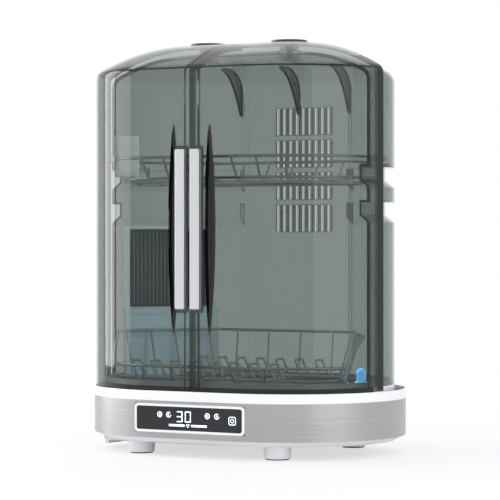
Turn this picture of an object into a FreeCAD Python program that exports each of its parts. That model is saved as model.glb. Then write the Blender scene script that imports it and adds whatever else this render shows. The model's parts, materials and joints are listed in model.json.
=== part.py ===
import FreeCAD, Part
import math
import os

# Dish drainer cabinet: a base with a drip tray and a touch panel, a clear rear casing, two clear
# doors that turn about pivots in the casing's roof, two wire racks and a cutlery holder.
# Millimetres. +Z is up, -Y is the front, and the origin is on the table under the middle of the plan.

Vector = FreeCAD.Vector
Z_AXIS = Vector(0, 0, 1)

# Plan: two half circles about the door pivots, joined by straight runs
pivot_x = 60.0            # each door pivot from the middle
door_radius = 146.0       # outside of the door wall, from its pivot
base_overhang = 2.0       # base stands out beyond the doors
casing_inset = 12.0       # outside of the casing, in from the outside of the doors
door_wall = 2.5
casing_wall = 2.5

# Heights from the table up
foot_height = 17.0
taper_height = 7.0        # lower shell, from the feet to the steel band
band_height = 46.5
ring_height = 12.0
door_lift = 0.8           # gap between the ring and the doors
overall_height = 522.0    # crown of the door roof

# Door roof outline, from its crown to the wall
crown_half = 54.0
crown_drop = 3.6
slope_in = 42.0
slope_drop = 16.7
shoulder_in = 6.5
shoulder_drop = 33.8

# Casing roof outline, under the door roof
casing_crown_gap = 12.0
casing_slope_drop = 12.5
casing_shoulder_in = 10.0
casing_shoulder_drop = 25.5

# Doors
seam_half = 0.5           # half the gap between the doors
door_edge_y = -21.0       # rear edge of the door wall
door_lip_width = 2.5
door_lip_depth = 6.0
stile_depth = 10.0        # flange along the meeting edge, measured from the outside
stile_width = 2.5
rib_offset = 9.5          # second rib of the stile, from the seam
rib_width = 2.2
rib_depth = 6.0
tongue_radius = 27.0      # roof tongue round each pivot
scoop_offset = 26.0       # scoop beside the handle, from the seam
scoop_bottom = 162.0
scoop_top = 405.0
scoop_half_width = 4.8
scoop_depth = 4.0

# Handles
handle_offset = 4.0       # near side of the bar, from the seam
handle_width = 13.4
handle_depth = 6.5
handle_bottom = 184.4
handle_top = 382.3
bezel_margin = 2.2
bezel_thickness = 1.5
handle_screw_inset = 16.0
handle_screw_radius = 2.0
screw_head_radius = 3.6
screw_head_height = 2.0

# Pivots
pin_radius = 4.0
pin_clearance = 0.08
bush_radius = 6.0
bush_flange_radius = 10.0
bush_flange_height = 0.8
casing_boss_radius = 14.0
casing_boss_rise = 2.0    # above the casing's roof
casing_boss_height = 13.2
door_boss_radius = 12.0
boss_gap = 0.2
pin_top_cover = 1.2       # door roof left above the pin's end
pin_bottom_cover = 2.0    # casing boss left under the pin
pin_fit = 0.02            # pin in the casing's boss
bush_top_cover = 1.0
cap_radius = 23.5
cap_rise = 2.6
cap_seat_drop = 0.7       # flat seat for the cap, below the crown
cap_fillet = 2.2

# Casing
casing_edge_y = -30.0     # front edge of the casing
casing_lip_width = 3.0
casing_lip_depth = 4.5
back_panel_half = 79.0
back_panel_proud = 2.5
back_panel_top_drop = 44.0
ledge_drop = 161.0        # flat top of the upper groove, below the crown
ledge_pitch = 44.0        # from the upper groove to the lower one
groove_depth = 12.0
groove_height = 15.0      # full depth part
groove_slope = 10.0       # sloped part below it
groove_first_angle = -20.0
groove_last_angle = 80.0
vent_columns = 9
vent_rows = 4
vent_width = 5.8
vent_pitch = 9.6
vent_height = 35.5
vent_row_pitch = 43.1
vent_middle_x = 6.5
vent_top_drop = 76.0      # top of the highest row, below the crown
crescent_places = (-85.0, 2.0, 79.0)
crescent_thickness = 3.0
crescent_reach = 26.0
crescent_drop = 58.0
crescent_width = 11.0

# Base
base_wall = 2.5
taper_inset = 14.0
band_thickness = 1.0
skin_gap = 0.1
ring_lip = 1.2            # rim outside the door track
track_depth = 6.5
upstand_rise = 5.1        # upstand under the casing, above the ring
ring_floor = 2.5
ring_shelf = 12.0         # inward shelf that carries the floor pan
liner_thickness = 1.2
sill_thickness = 1.4
foot_x = 39.0             # feet, outward from the pivots
foot_y = 101.0
foot_radius = 17.4
foot_bottom_radius = 16.4
pad_radius = 14.5
pad_height = 3.0
pad_proud = 1.5
boss_inset = 21.5         # screw bosses, in from the outside of the doors
boss_radius = 5.0
boss_angle = 40.0
screw_radius = 2.0
screw_clearance = 0.1
screw_length = 14.0
base_screw_head = 3.0     # head radius of the base screws
intake_slots = 9
intake_pitch = 8.0
intake_width = 3.0
intake_length = 38.0

# Floor pan
pan_gap = 0.4
pan_wall = 2.0
pan_rim_rise = 6.1        # rim above the upstand
pan_shelf_drop = 5.0      # shelf below the rim
pan_shelf_width = 16.6
pan_recess = 6.7
drain_x = -50.0           # drain, outward from the left pivot
spout_radius = 7.0
spout_wall = 1.6

# Power inlet in the rear of the base
inlet_x = 40.0
inlet_half = 13.0
inlet_bottom = 36.0
inlet_height = 17.0
inlet_depth = 20.0
inlet_mouth_half_width = 8.6
inlet_mouth_half_height = 4.2
inlet_mouth_depth = 13.0
inlet_pin_radius = 1.2
inlet_pin_offset = 4.3

# Display
panel_half = 76.0
panel_height = 29.4
panel_bottom = 34.2
panel_border = 3.0
panel_thickness = 2.0
panel_proud = 0.6
frame_depth = 6.5
frame_corner = 5.0
panel_corner = 3.0
board_thickness = 1.6
board_chips = (-52.0, -18.0, 22.0)
chip_size = 12.0
chip_height = 2.0
power_board_in = 8.0      # power board, outward from the right pivot
power_board_length = 70.0
power_board_width = 70.0
post_height = 8.0
post_radius = 3.0
post_inset = 5.0

# Drip tray in the bottom of the base
tray_half_width = 48.0
tray_bottom = 8.0
tray_wall = 1.8
tray_inner_end = -20.0
tray_flange = 2.4
tray_gap = 0.7
lip_height = 4.0          # lowest point of the pull lip above the table
lip_thickness = 4.0
lip_reach = 6.5           # front of the pull lip, out from the tray's end
lip_foot_reach = 1.0
tray_end_in = 7.0         # tray's end, in from the edge of the base's underside
rail_width = 2.6
rail_height = 2.3
runner_gap = 0.3

# Air duct at the left rear, on a chord of the casing
duct_start_angle = 3.7    # forward of the X axis, about the left pivot
duct_start_in = 20.0      # in from the outside of the doors
duct_end_angle = 64.0
duct_end_in = 24.0
duct_outer_in = 17.9
duct_wall = 2.0
duct_box_top = 178.0
duct_box_step = 6.0
duct_ledge_step = 8.0
duct_ledge_height = 5.0
duct_top_gap = 3.5        # below the lower ledge's slope
louvre_margin = 8.0
louvre_thickness = 2.0
rib_pitch = 5.7
rib_thickness = 2.4
rib_rise = 4.0

# Fan and heater
fan_half = 30.0
fan_height = 20.0
fan_bore = 26.0
fan_along = 68.0          # fan centre along the duct's chord
fan_out = -18.0           # and outward from it
fan_blades = 7
hub_radius = 11.0
shaft_radius = 2.0
shaft_clearance = 0.05
bearing_height = 7.0
heater_length = 72.0
heater_depth = 10.0
heater_out = 4.0          # behind the face of the duct
heater_height = 30.0
heater_end = 4.0
heater_bar = 3.0
heater_fin = 1.0
heater_fins = 13

# Lamp
lamp_in = 40.0            # lamp axis, in from the outside of the doors
lamp_y = -6.0
lamp_radius = 6.0
lamp_height = 20.0
holder_radius = 9.0
holder_height = 4.0

# Racks
rail_radius = 2.0
wire_radius = 1.5
ball_swell = 1.01         # balls at the bends, a little larger than the wire
rack_gap = 21.0           # widest rail, in from the outside of the doors
rack_taper = 7.0          # lower rack's ring inside its rim
rack_seat_gap = 0.3
lower_rim_rise = 21.0     # front rim above the ring
lower_side_rise = 59.0    # side rim above the ring
rim_break_y = -59.0
ring_corner_y = -45.0     # where the lower ring leaves the round plan
rim_corner_y = -30.0
rack_rear_y = 100.0
rack_foot_reach = 24.0    # rear feet of the lower rack, behind its ring
rack_foot_x = 45.0
weld_gap = 0.05           # from a wire to the rail or wire that it is welded to
cross_wires = (-118.0, -31.0, 31.0, 118.0)
lower_front_wires = (-88.0, -44.0, 0.0, 44.0, 88.0)
lower_side_wires = (-30.0, 0.0, 30.0, 74.0)
lower_rear_wires = (-72.0, -24.0, 24.0, 72.0)
divider_pitch = 29.0
divider_first = -118.0
divider_count = 8
divider_height = 21.0
divider_width = 22.0
divider_lean = 7.0
divider_rows = (-84.0, 34.0)
divider_margin = 8.0      # from a hoop to the end of its floor wires
upper_bottom_in = 36.0    # upper rack's bottom rail, in from the outside of the doors
upper_rail_rise = 10.2    # top rail above the ledge
upper_bottom_drop = 15.8  # bottom rail below the ledge
fence_first = -88.0
fence_pitch = 33.0
fence_count = 7
back_fence_pitch = 37.0
back_fence_count = 5
floor_pitch = 32.0
floor_count = 10
long_wire_y = 38.0
long_wire_over = 2.0      # past the outermost floor wire
seat_angles = (-10.0, 14.0, 38.0, 62.0)

# Cutlery holder
holder_wall = 1.8
holder_inner_in = 51.0
holder_gap = 0.7
holder_start_angle = 15.0
holder_end_angle = 50.0
cutlery_bottom_drop = 11.5
cutlery_top_rise = 40.5
holder_slots = 5
slot_angle = 2.2
slot_pitch_angle = 5.4
hook_half_angle = 4.0
hook_gap = 0.4
hook_thickness = 1.6

# Derived radii and heights
base_radius = door_radius + base_overhang
door_inside = door_radius - door_wall
casing_radius = door_radius - casing_inset
casing_inside = casing_radius - casing_wall
band_bottom = foot_height + taper_height
ring_bottom = band_bottom + band_height
ring_top = ring_bottom + ring_height
door_bottom = ring_top + door_lift
track_floor = ring_top - track_depth
upstand_top = ring_top + upstand_rise
upstand_inside = casing_inside - door_lift
ring_shelf_top = track_floor
pan_radius = upstand_inside - pan_gap
pan_rim = upstand_top + pan_rim_rise
pan_shelf = pan_rim - pan_shelf_drop
pan_shelf_inside = pan_radius - pan_wall - pan_shelf_width
pan_floor = pan_shelf - pan_recess
pan_underside = pan_floor - pan_wall
fan_top = pan_underside
fan_bottom = fan_top - fan_height
bearing_top = fan_bottom + bearing_height
lamp_x = pivot_x + door_radius - lamp_in
casing_top = overall_height - casing_crown_gap
casing_boss_top = casing_top + casing_boss_rise
bush_bottom = casing_boss_top + boss_gap
door_boss_bottom = bush_bottom + bush_flange_height
pin_bottom = casing_boss_top - casing_boss_height + pin_bottom_cover
pin_top = overall_height - pin_top_cover
ledge_outer_z = overall_height - ledge_drop
ledge_z = ledge_outer_z + casing_wall
boss_circle = door_radius - boss_inset
rack_radius = door_radius - rack_gap
wire_on_rail = rail_radius + wire_radius + weld_gap
wire_on_wire = 2 * wire_radius + weld_gap
lower_ring_z = pan_shelf + rack_seat_gap + rail_radius
lower_rim_z = lower_ring_z + lower_rim_rise
lower_side_z = lower_ring_z + lower_side_rise
tray_top = band_bottom - tray_gap
recess_top = band_bottom + tray_gap
recess_half = tray_half_width + tray_flange + tray_gap

os.makedirs("parts", exist_ok=True)


def save(name, *shapes):
    shape = shapes[0] if len(shapes) == 1 else Part.makeCompound(list(shapes))
    shape.exportStep("parts/" + name + ".step")
    print(name, "solids", len(shape.Solids), "valid", shape.isValid())


def box(x0, x1, y0, y1, z0, z1):
    return Part.makeBox(x1 - x0, y1 - y0, z1 - z0, Vector(x0, y0, z0))


def cylinder(x, y, z0, z1, radius):
    return Part.makeCylinder(radius, z1 - z0, Vector(x, y, z0))


def mirrored(shape):
    return shape.mirror(Vector(0, 0, 0), Vector(1, 0, 0))


def fuse_all(shapes):
    return shapes[0].fuse(list(shapes[1:])).removeSplitter()


def polygon(points):
    wire = Part.makePolygon([Vector(*p) for p in points] + [Vector(*points[0])])
    return Part.Face(wire)


def section(points):
    # Face at X = 0 from (radius, height) pairs, with the radius towards the front.
    return polygon([(0, -r, z) for r, z in points])


def about_pivot(face, first_angle, last_angle):
    # Turns a section about the right pivot; angles run from the X axis towards the back.
    arm = face.copy()
    arm.translate(Vector(pivot_x, 0, 0))
    arm.rotate(Vector(pivot_x, 0, 0), Z_AXIS, 90 + first_angle)
    return arm.revolve(Vector(pivot_x, 0, 0), Z_AXIS, last_angle - first_angle)


def round_plan(face):
    # Sweeps a section right round the plan of the cabinet.
    right = about_pivot(face, -90, 90)
    front = face.copy()
    front.translate(Vector(-pivot_x, 0, 0))
    back = front.copy()
    back.rotate(Vector(-pivot_x, 0, 0), Z_AXIS, 180)
    run = Vector(2 * pivot_x, 0, 0)
    return fuse_all([right, front.extrude(run), mirrored(right), back.extrude(run)])


def round_prism(radius, z0, z1):
    return round_plan(section([(0, z0), (radius, z0), (radius, z1), (0, z1)]))


def round_ring(outer, inner, z0, z1):
    return round_plan(section([(inner, z0), (outer, z0), (outer, z1), (inner, z1)]))


def polar(angle, radius, side=1):
    # Point about a pivot; the angle runs from the outward X axis towards the back.
    turn = math.radians(angle)
    return side * (pivot_x + radius * math.cos(turn)), radius * math.sin(turn)


def roof_knots(radius, top, slope_fall, shoulder_from_wall, shoulder_fall):
    # Crown, flat, slope and shoulder, then a last arc that ends upright on the wall.
    knots = [(0.0, top), (crown_half, top - crown_drop), (radius - slope_in, top - slope_fall),
             (radius - shoulder_from_wall, top - shoulder_fall)]
    arcs = []
    slope = 0.0
    for start, end in zip(knots, knots[1:]):
        chord = math.atan2(start[1] - end[1], end[0] - start[0])
        finish = 2 * chord - slope
        arcs.append((start, slope, end, finish))
        slope = finish
    chord = (slope + math.pi / 2) / 2
    last = knots[-1]
    wall_end = (radius, last[1] - (radius - last[0]) * math.tan(chord))
    arcs.append((last, slope, wall_end, math.pi / 2))
    return arcs


def roof_edges(arcs, inset):
    edges = []
    for start, slope, end, finish in arcs:
        a = (start[0] - inset * math.sin(slope), start[1] - inset * math.cos(slope))
        b = (end[0] - inset * math.sin(finish), end[1] - inset * math.cos(finish))
        chord = (slope + finish) / 2
        rise = math.dist(a, b) / 2 * math.tan((finish - slope) / 4)
        middle = ((a[0] + b[0]) / 2 + rise * math.sin(chord), (a[1] + b[1]) / 2 + rise * math.cos(chord))
        points = [Vector(0, -r, z) for r, z in (a, middle, b)]
        edges.append(Part.Arc(*points).toShape())
    return edges


def dome(arcs, inset, bottom, wall=None):
    # Solid under the roof outline, or its shell where a wall is given.
    outer = roof_edges(arcs, inset)
    crown = outer[0].Vertexes[0].Point
    foot = outer[-1].Vertexes[-1].Point
    if wall is None:
        corners = [foot, Vector(0, foot.y, bottom), Vector(0, 0, bottom), crown]
        lines = [Part.LineSegment(a, b).toShape() for a, b in zip(corners, corners[1:])]
        return round_plan(Part.Face(Part.Wire(outer + lines)))
    inner = roof_edges(arcs, inset + wall)
    inner_crown = inner[0].Vertexes[0].Point
    inner_foot = inner[-1].Vertexes[-1].Point
    down = [foot, Vector(0, foot.y, bottom), Vector(0, inner_foot.y, bottom), inner_foot]
    lines = [Part.LineSegment(a, b).toShape() for a, b in zip(down, down[1:])]
    back = [Part.LineSegment(inner_crown, crown).toShape()]
    return round_plan(Part.Face(Part.Wire(outer + lines + inner[::-1] + back)))


def ball(point, radius):
    # Weld or bend in a wire. Its axis is askew, so that its poles meet no other edge.
    return Part.makeSphere(radius * ball_swell, Vector(*point), Vector(0.31, 0.47, 0.83))


def rod(points, radius):
    # Straight bars through the points, with a ball at each bend.
    spots = [Vector(*p) for p in points]
    pieces = []
    for a, b in zip(spots, spots[1:]):
        pieces.append(Part.makeCylinder(radius, a.distanceToPoint(b), a, b - a))
    pieces += [ball(spot, radius) for spot in points[1:-1]]
    return pieces


door_arcs = roof_knots(door_radius, overall_height, slope_drop, shoulder_in, shoulder_drop)
casing_arcs = roof_knots(casing_radius, casing_top, casing_slope_drop, casing_shoulder_in,
                         casing_shoulder_drop)

# Where the duct's face stands: its chord between two points about the left pivot
duct_a = polar(-duct_start_angle, door_radius - duct_start_in, -1)
duct_b = polar(duct_end_angle, door_radius - duct_end_in, -1)
duct_length = math.dist(duct_a, duct_b)
duct_angle = math.degrees(math.atan2(duct_b[1] - duct_a[1], duct_b[0] - duct_a[0]))
duct_place = FreeCAD.Placement(Vector(duct_a[0], duct_a[1], 0), FreeCAD.Rotation(Z_AXIS, duct_angle))
duct_outer = door_radius - duct_outer_in
lower_slope_z = ledge_outer_z - ledge_pitch - groove_height - groove_slope
duct_top = lower_slope_z - duct_top_gap


def on_duct(x0, x1, y0, y1, z0, z1):
    # Box along the duct's face: x along the chord, y outward from the chamber.
    shape = box(x0, x1, y0, y1, z0, z1)
    shape.Placement = duct_place.multiply(shape.Placement)
    return shape


def duct_point(along, outward):
    spot = duct_place.multVec(Vector(along, outward, 0))
    return spot.x, spot.y


fan_x, fan_y = duct_point(fan_along, fan_out)
drain_centre = (-pivot_x + drain_x, 0.0)
boss_places = [polar(a, boss_circle, s) for s in (1, -1) for a in (boss_angle, -boss_angle)]
boss_places += [(0.0, boss_circle), (0.0, -boss_circle)]
foot_places = [(sx * (pivot_x + foot_x), sy * foot_y) for sx in (1, -1) for sy in (1, -1)]


def rounded_plate(half_width, z0, z1, y0, y1, corner):
    plate = box(-half_width, half_width, y0, y1, z0, z1)
    upright = [e for e in plate.Edges if abs(e.tangentAt(e.FirstParameter).y) > 0.9]
    return plate.makeFillet(corner, upright)


def base_shell():
    outside = base_radius - band_thickness - skin_gap
    foot_edge = base_radius - taper_inset
    floor_top = foot_height + base_wall
    outline = [(0, foot_height), (foot_edge, foot_height), (base_radius, band_bottom - skin_gap),
               (outside, band_bottom), (outside, ring_bottom - skin_gap),
               (outside - base_wall, ring_bottom - skin_gap), (outside - base_wall, band_bottom + base_wall),
               (foot_edge, floor_top), (0, floor_top)]
    shell = round_plan(section(outline))
    bosses = [cylinder(x, y, foot_height, ring_shelf_top - ring_floor, boss_radius) for x, y in boss_places]
    inner_end = tray_inner_end + 2 * tray_gap
    reach = -(pivot_x + base_radius)
    hood = box(reach, inner_end + base_wall, -recess_half - base_wall, recess_half + base_wall,
               foot_height, recess_top + base_wall)
    hood = hood.common(round_prism(outside - base_wall / 2, foot_height, recess_top + base_wall))
    shell = fuse_all([shell, hood] + bosses)
    cuts = [box(reach, inner_end, -recess_half, recess_half, 0, recess_top)]
    cuts += [cylinder(x, y, recess_top, ring_shelf_top, screw_radius + screw_clearance)
             for x, y in boss_places]
    cuts.append(cylinder(*drain_centre, recess_top - 1, ring_bottom, spout_radius + 0.5))
    margin = panel_border + skin_gap
    cuts.append(box(-panel_half - margin, panel_half + margin, -base_radius, -base_radius + 12,
                    panel_bottom - margin, panel_bottom + panel_height + margin))
    cuts.append(box(inlet_x - inlet_half - skin_gap, inlet_x + inlet_half + skin_gap, base_radius - 12,
                    base_radius, inlet_bottom - skin_gap, inlet_bottom + inlet_height + skin_gap))
    first = fan_x - intake_pitch * (intake_slots - 1) / 2
    for i in range(intake_slots):
        x = first + i * intake_pitch
        y = recess_half + 2 * base_wall
        cuts.append(box(x, x + intake_width, y, y + intake_length, 0, floor_top + 1))
    return shell.cut(cuts)


def feet():
    shapes = []
    for x, y in foot_places:
        rise = foot_height - pad_proud
        foot = Part.makeCone(foot_bottom_radius, foot_radius, rise, Vector(x, y, pad_proud))
        shapes.append(foot.cut(cylinder(x, y, 0, pad_height, pad_radius)))
    return shapes


def foot_pads():
    return [cylinder(x, y, 0, pad_height, pad_radius) for x, y in foot_places]


def steel_band():
    band = round_ring(base_radius, base_radius - band_thickness, band_bottom, ring_bottom)
    margin = panel_border + skin_gap
    window = box(-panel_half - margin, panel_half + margin, -base_radius - 1, -base_radius + 12,
                 panel_bottom - margin, panel_bottom + panel_height + margin)
    socket = box(inlet_x - inlet_half - skin_gap, inlet_x + inlet_half + skin_gap, base_radius - 12,
                 base_radius + 1, inlet_bottom - skin_gap, inlet_bottom + inlet_height + skin_gap)
    return band.cut([window, socket])


def top_ring():
    wall = base_radius - base_wall
    shelf_inside = casing_radius - ring_shelf
    under = ring_shelf_top - ring_floor
    outline = [(base_radius, ring_bottom), (base_radius, ring_top - 1.2), (base_radius - 0.8, ring_top),
               (base_radius - ring_lip, ring_top), (base_radius - ring_lip, track_floor),
               (casing_radius, track_floor), (casing_radius, upstand_top), (upstand_inside, upstand_top),
               (upstand_inside, ring_shelf_top), (shelf_inside, ring_shelf_top), (shelf_inside, under),
               (wall, under), (wall, ring_bottom)]
    ring = round_plan(section(outline))
    holes = [cylinder(x, y, ring_bottom, ring_top, screw_radius + screw_clearance) for x, y in boss_places]
    return ring.cut(holes)


def door_track():
    outer = base_radius - ring_lip
    return round_ring(outer, casing_radius, track_floor, track_floor + liner_thickness)


def sill_strip():
    strip = round_ring(casing_radius + sill_thickness, casing_radius, track_floor + liner_thickness,
                       upstand_top)
    far = pivot_x + base_radius
    return strip.common(box(-far, far, -far, casing_edge_y + 5, 0, overall_height))


def base_screws():
    head_top = ring_shelf_top + screw_head_height
    shapes = []
    for x, y in boss_places:
        head = cylinder(x, y, ring_shelf_top, head_top, base_screw_head)
        shapes.append(head.fuse(cylinder(x, y, ring_shelf_top - screw_length, ring_shelf_top, screw_radius)))
    return shapes


def floor_pan():
    inner = pan_radius - pan_wall
    outline = [(0, pan_underside), (pan_shelf_inside + pan_wall, pan_underside),
               (pan_shelf_inside + pan_wall, pan_shelf - pan_wall), (inner, pan_shelf - pan_wall),
               (inner, ring_shelf_top + skin_gap), (pan_radius, ring_shelf_top + skin_gap),
               (pan_radius, pan_rim), (inner, pan_rim), (inner, pan_shelf), (pan_shelf_inside, pan_shelf),
               (pan_shelf_inside, pan_floor), (0, pan_floor)]
    pan = round_plan(section(outline))
    heads = [cylinder(x, y, ring_shelf_top, ring_shelf_top + screw_head_height + 0.3, screw_head_radius)
             for x, y in boss_places]
    stand = on_duct(0, duct_length, -duct_box_step - 3, 60, pan_underside, pan_shelf)
    round_part = cylinder(-pivot_x, 0, pan_underside, pan_shelf, inner)
    pan = fuse_all([pan, stand.common(round_part)])
    throat = on_duct(fan_along - 24, fan_along + 24, duct_wall - duct_box_step + 1, 8, 0, pan_rim)
    drain = cylinder(*drain_centre, 0, pan_rim, spout_radius - spout_wall)
    return pan.cut([throat, drain] + heads)


def drain_spout():
    pipe = cylinder(*drain_centre, tray_top + 1.5, pan_underside, spout_radius)
    bore = cylinder(*drain_centre, 0, pan_rim, spout_radius - spout_wall)
    flange = cylinder(*drain_centre, pan_underside - 2, pan_underside, spout_radius + 4)
    return pipe.fuse(flange).cut(bore)


def display_frame():
    half = panel_half + panel_border
    low = panel_bottom - panel_border
    high = panel_bottom + panel_height + panel_border
    front = -base_radius - panel_proud
    frame = rounded_plate(half, low, high, front, front + frame_depth, frame_corner)
    window = rounded_plate(panel_half, panel_bottom, panel_bottom + panel_height, front - 1,
                           front + panel_thickness, panel_corner)
    window_behind = rounded_plate(panel_half - 2, panel_bottom + 2, panel_bottom + panel_height - 2,
                                  front, front + frame_depth + 1, panel_corner)
    return frame.cut([window, window_behind])


def display_panel():
    front = -base_radius - panel_proud
    return rounded_plate(panel_half - skin_gap, panel_bottom + skin_gap,
                         panel_bottom + panel_height - skin_gap, front, front + panel_thickness,
                         panel_corner)


def control_board():
    back = -base_radius - panel_proud + frame_depth
    board = box(-panel_half, panel_half, back, back + board_thickness, panel_bottom - 2,
                panel_bottom + panel_height + 2)
    face = back + board_thickness
    middle = panel_bottom + panel_height / 2
    low = middle - chip_size / 2
    chips = [box(x, x + chip_size, face, face + chip_height, low, low + chip_size) for x in board_chips]
    header_x = panel_half - 2 * chip_size
    header = box(header_x, header_x + 1.5 * chip_size, face, face + 3 * chip_height, middle - 4, middle + 4)
    return fuse_all([board, header] + chips)


def power_board():
    # Board on four posts, with a transformer, a relay, a terminal block and a capacitor on it.
    floor_top = foot_height + base_wall
    x0 = pivot_x + power_board_in
    y0 = recess_half + base_wall - 44
    x1 = x0 + power_board_length
    y1 = y0 + power_board_width
    top = floor_top + post_height + board_thickness
    board = box(x0, x1, y0, y1, floor_top + post_height, top)
    transformer = box(x0 + 6, x0 + 34, y0 + 6, y0 + 32, top, top + 22)
    capacitor = cylinder(x0 + 48, y0 + 18, top, top + 18, 6)
    relay = box(x0 + 42, x0 + 60, y0 + 44, y0 + 60, top, top + 15)
    terminals = box(x0 + 6, x0 + 24, y0 + 42, y0 + 64, top, top + 9)
    posts = [cylinder(x, y, floor_top, floor_top + post_height, post_radius)
             for x in (x0 + post_inset, x1 - post_inset) for y in (y0 + post_inset, y1 - post_inset)]
    return fuse_all([board, transformer, capacitor, relay, terminals] + posts)


def power_inlet():
    y1 = base_radius + panel_proud
    block = box(inlet_x - inlet_half, inlet_x + inlet_half, y1 - inlet_depth, y1, inlet_bottom,
                inlet_bottom + inlet_height)
    middle = inlet_bottom + inlet_height / 2
    mouth = box(inlet_x - inlet_mouth_half_width, inlet_x + inlet_mouth_half_width, y1 - inlet_mouth_depth,
                y1 + 1, middle - inlet_mouth_half_height, middle + inlet_mouth_half_height)
    pins = [Part.makeCylinder(inlet_pin_radius, 9, Vector(inlet_x + s * inlet_pin_offset, y1 - 14, middle),
                              Vector(0, 1, 0)) for s in (1, -1)]
    return fuse_all([block.cut(mouth)] + pins)


def tray_rails():
    z1 = tray_top - tray_wall - runner_gap
    rail = box(-pivot_x - 110, tray_inner_end, recess_half - rail_width, recess_half, z1 - rail_height, z1)
    other = rail.mirror(Vector(0, 0, 0), Vector(0, 1, 0))
    return [rail, other]


def drip_tray():
    end = -(pivot_x + base_radius - taper_inset - tray_end_in)
    outer = box(end, tray_inner_end, -tray_half_width, tray_half_width, tray_bottom, tray_top)
    inner = box(end + lip_thickness, tray_inner_end - tray_wall, -tray_half_width + tray_wall,
                tray_half_width - tray_wall, tray_bottom + tray_wall, tray_top + 1)
    flange = box(end, tray_inner_end, -tray_half_width - tray_flange, tray_half_width + tray_flange,
                 tray_top - tray_wall, tray_top)
    front = end - lip_reach
    foot = end - lip_foot_reach
    lip = polygon([(end + lip_thickness, 0, tray_top), (front, 0, tray_top), (front, 0, foot_height),
                   (foot, 0, lip_height), (foot + lip_thickness, 0, lip_height),
                   (end + lip_thickness, 0, tray_bottom)])
    lip.translate(Vector(0, -tray_half_width, 0))
    lip = lip.extrude(Vector(0, 2 * tray_half_width, 0))
    return fuse_all([outer, flange, lip]).cut(inner)


def air_duct():
    round_part = cylinder(-pivot_x, 0, pan_shelf, duct_top, duct_outer)
    hollow_part = cylinder(-pivot_x, 0, 0, duct_top - duct_wall, duct_outer - duct_wall)
    column = on_duct(0, duct_length, 0, 60, pan_shelf, duct_top)
    lower = on_duct(0, duct_length, -duct_box_step, 60, pan_shelf, duct_box_top)
    ledge = on_duct(-1, duct_length + 1, -duct_ledge_step, 20, duct_box_top - duct_ledge_height, duct_box_top)
    outer = fuse_all([column, lower, ledge]).common(round_part)
    inside = on_duct(duct_wall, duct_length - duct_wall, louvre_thickness, 60, 0, duct_top - duct_wall)
    inside_low = on_duct(duct_wall, duct_length - duct_wall, duct_wall - duct_box_step, 60, 0,
                         duct_box_top - duct_wall)
    inner = inside.fuse(inside_low).common(hollow_part)
    window = on_duct(louvre_margin, duct_length - louvre_margin, -20, louvre_thickness + 1,
                     duct_box_top + 3, duct_top - 4)
    return outer.cut([inner, window])


def duct_louvre():
    x0 = louvre_margin + skin_gap
    x1 = duct_length - louvre_margin - skin_gap
    z0 = duct_box_top + 3 + skin_gap
    z1 = duct_top - 4 - skin_gap
    plate = on_duct(x0, x1, 0.4, louvre_thickness, z0, z1)
    count = int((x1 - x0 - rib_thickness) // rib_pitch)
    start = (x0 + x1) / 2 - count * rib_pitch / 2
    ribs = []
    slots = []
    for i in range(count + 1):
        x = start + i * rib_pitch
        ribs.append(on_duct(x - rib_thickness / 2, x + rib_thickness / 2, louvre_thickness - rib_rise,
                            louvre_thickness, z0 + 2, z1 - 2))
        if i < count:
            slots.append(on_duct(x + rib_thickness / 2, x + rib_pitch - rib_thickness / 2, 0,
                                 louvre_thickness + 1, z0 + 4, z1 - 4))
    return fuse_all([plate] + ribs).cut(slots)


def at_fan(shape):
    shape.rotate(Vector(0, 0, 0), Z_AXIS, duct_angle)
    shape.translate(Vector(fan_x, fan_y, 0))
    return shape


def fan_frame():
    frame = box(-fan_half, fan_half, -fan_half, fan_half, fan_bottom, fan_top)
    upright = [e for e in frame.Edges if abs(e.tangentAt(e.FirstParameter).z) > 0.9]
    frame = frame.makeFillet(5, upright).cut(cylinder(0, 0, fan_bottom - 1, fan_top + 1, fan_bore))
    arms = box(-fan_bore - 1, fan_bore + 1, -2, 2, fan_bottom, fan_bottom + 2)
    cross = arms.copy()
    cross.rotate(Vector(0, 0, 0), Z_AXIS, 90)
    bearing = cylinder(0, 0, fan_bottom, bearing_top, shaft_radius + 3)
    bore = cylinder(0, 0, fan_bottom + 1, bearing_top + 1, shaft_radius + shaft_clearance)
    return at_fan(fuse_all([frame, arms, cross, bearing]).cut(bore))


def fan_rotor():
    shaft = cylinder(0, 0, fan_bottom + 1.5, fan_top - 4, shaft_radius)
    hub = cylinder(0, 0, fan_bottom + 3, fan_top - 3, hub_radius)
    hub = hub.cut(cylinder(0, 0, fan_bottom + 2, fan_top - 6, hub_radius - 2))
    blade = box(hub_radius - 1, fan_bore - 1.5, -1, 1, fan_bottom + 4, fan_top - 4)
    blade.rotate(Vector(0, 0, (fan_bottom + fan_top) / 2), Vector(1, 0, 0), 38)
    blades = []
    for i in range(fan_blades):
        copy = blade.copy()
        copy.rotate(Vector(0, 0, 0), Z_AXIS, i * 360 / fan_blades)
        blades.append(copy)
    return at_fan(fuse_all([hub, shaft] + blades))


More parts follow.
